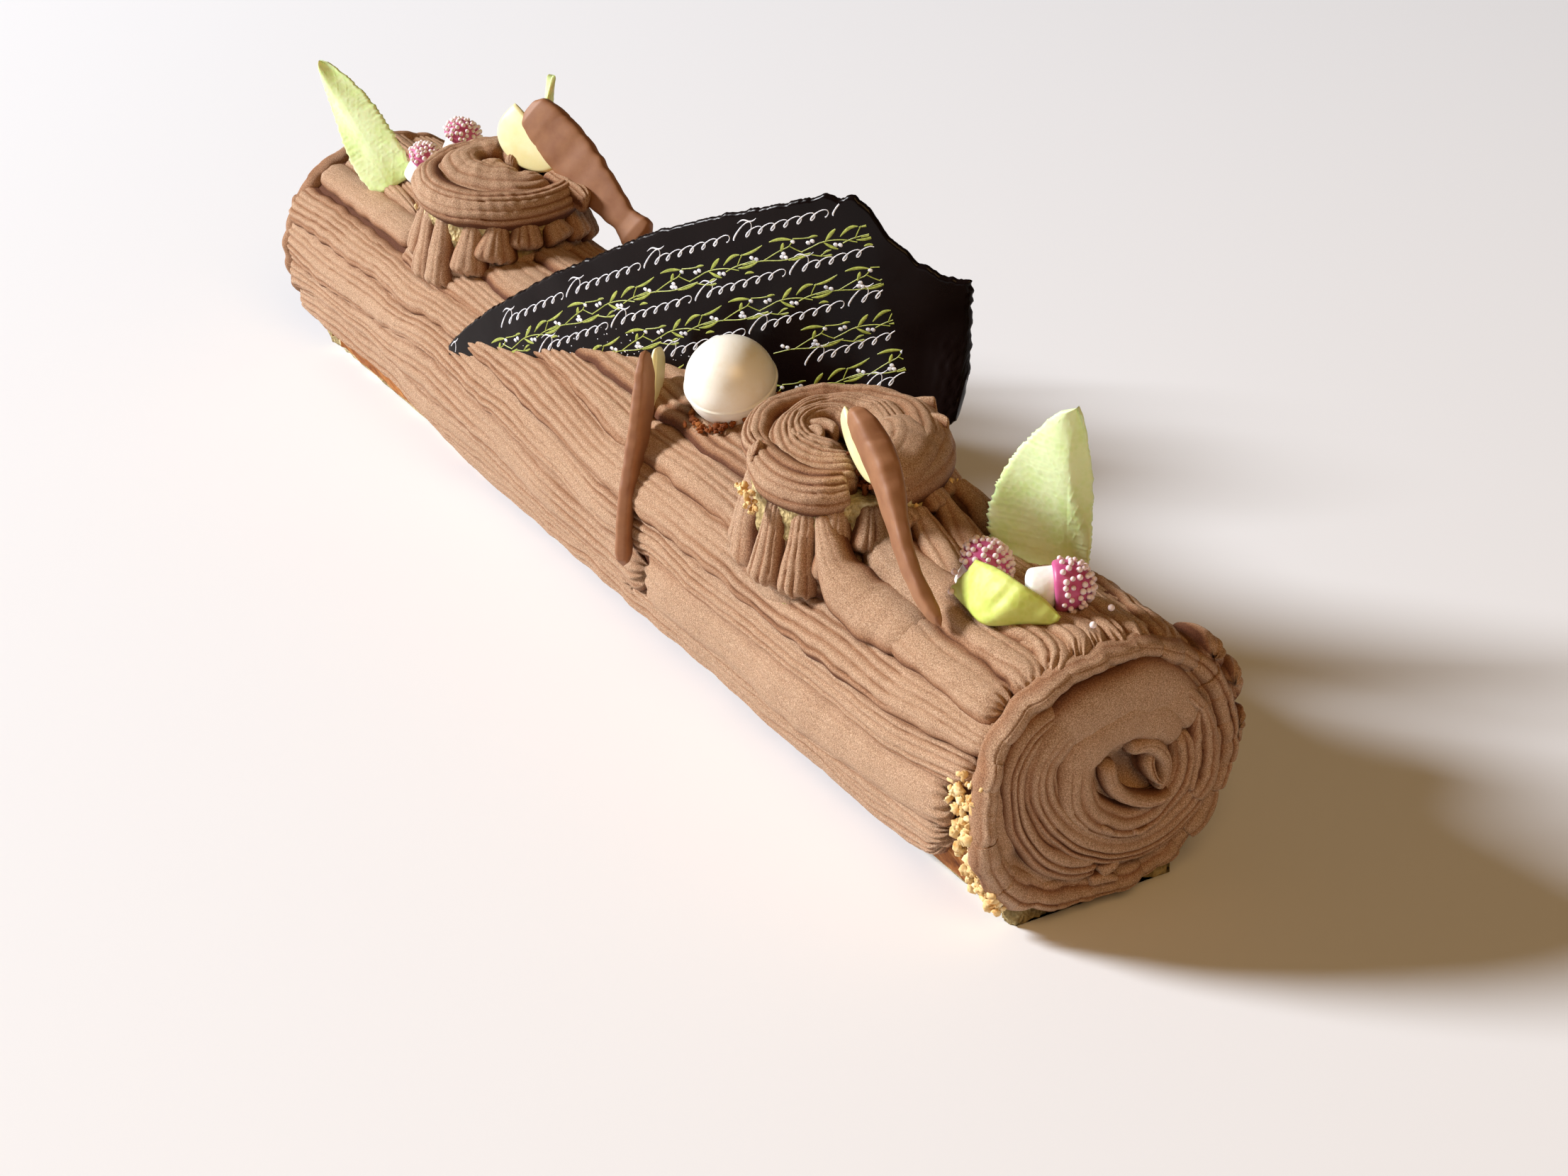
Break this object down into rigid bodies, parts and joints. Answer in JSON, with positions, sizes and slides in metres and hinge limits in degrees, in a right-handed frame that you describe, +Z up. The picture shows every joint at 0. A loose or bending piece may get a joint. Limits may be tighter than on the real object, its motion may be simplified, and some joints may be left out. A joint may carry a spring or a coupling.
{
  "type": "yule log cake",
  "caption": "Yule log cake: sponge roll in piped chocolate cream, two branch stubs, holly-leaf chocolate plaque, ball, hatchets, leaves and toadstools.",
  "frame": {"origin": "centre of the bounding box's base, on the table the log rests on", "axes": "+X along the log to the end whose spiral faces the viewer, +Z up"},
  "size_m": [0.4322, 0.0848, 0.1296],
  "materials": {
    "cream": "matte",
    "sponge": "matte",
    "dark_chocolate": "gloss",
    "milk_chocolate": "satin",
    "pale_chocolate": "satin",
    "pearl": "satin",
    "sugar_paste": "matte",
    "white_sugar": "matte",
    "pink_icing": "satin"
  },
  "bodies": {
    "root": {"sponge_roll": "sponge", "cream_coat": "cream", "cream_end_near": "cream", "cream_end_far": "cream", "near_stub_core": "sponge", "near_stub_petals": "cream", "near_stub_swirl": "cream", "far_stub_core": "sponge", "far_stub_petals": "cream", "far_stub_swirl": "cream", "chocolate_plaque": "dark_chocolate", "pearl_ball": "pearl", "near_hatchet_handle": "milk_chocolate", "near_hatchet_blade": "pale_chocolate", "mid_hatchet_handle": "milk_chocolate", "mid_hatchet_blade": "pale_chocolate", "far_hatchet_handle": "milk_chocolate", "far_hatchet_blade": "pale_chocolate", "near_leaf": "sugar_paste", "far_leaf": "sugar_paste", "hidden_leaf": "sugar_paste", "bent_leaf": "sugar_paste", "near_left_toadstool_stem": "white_sugar", "near_left_toadstool_cap": "pink_icing", "near_right_toadstool_stem": "white_sugar", "near_right_toadstool_cap": "pink_icing", "far_left_toadstool_stem": "white_sugar", "far_left_toadstool_cap": "pink_icing", "far_right_toadstool_stem": "white_sugar", "far_right_toadstool_cap": "pink_icing"}
  },
  "joints": []
}
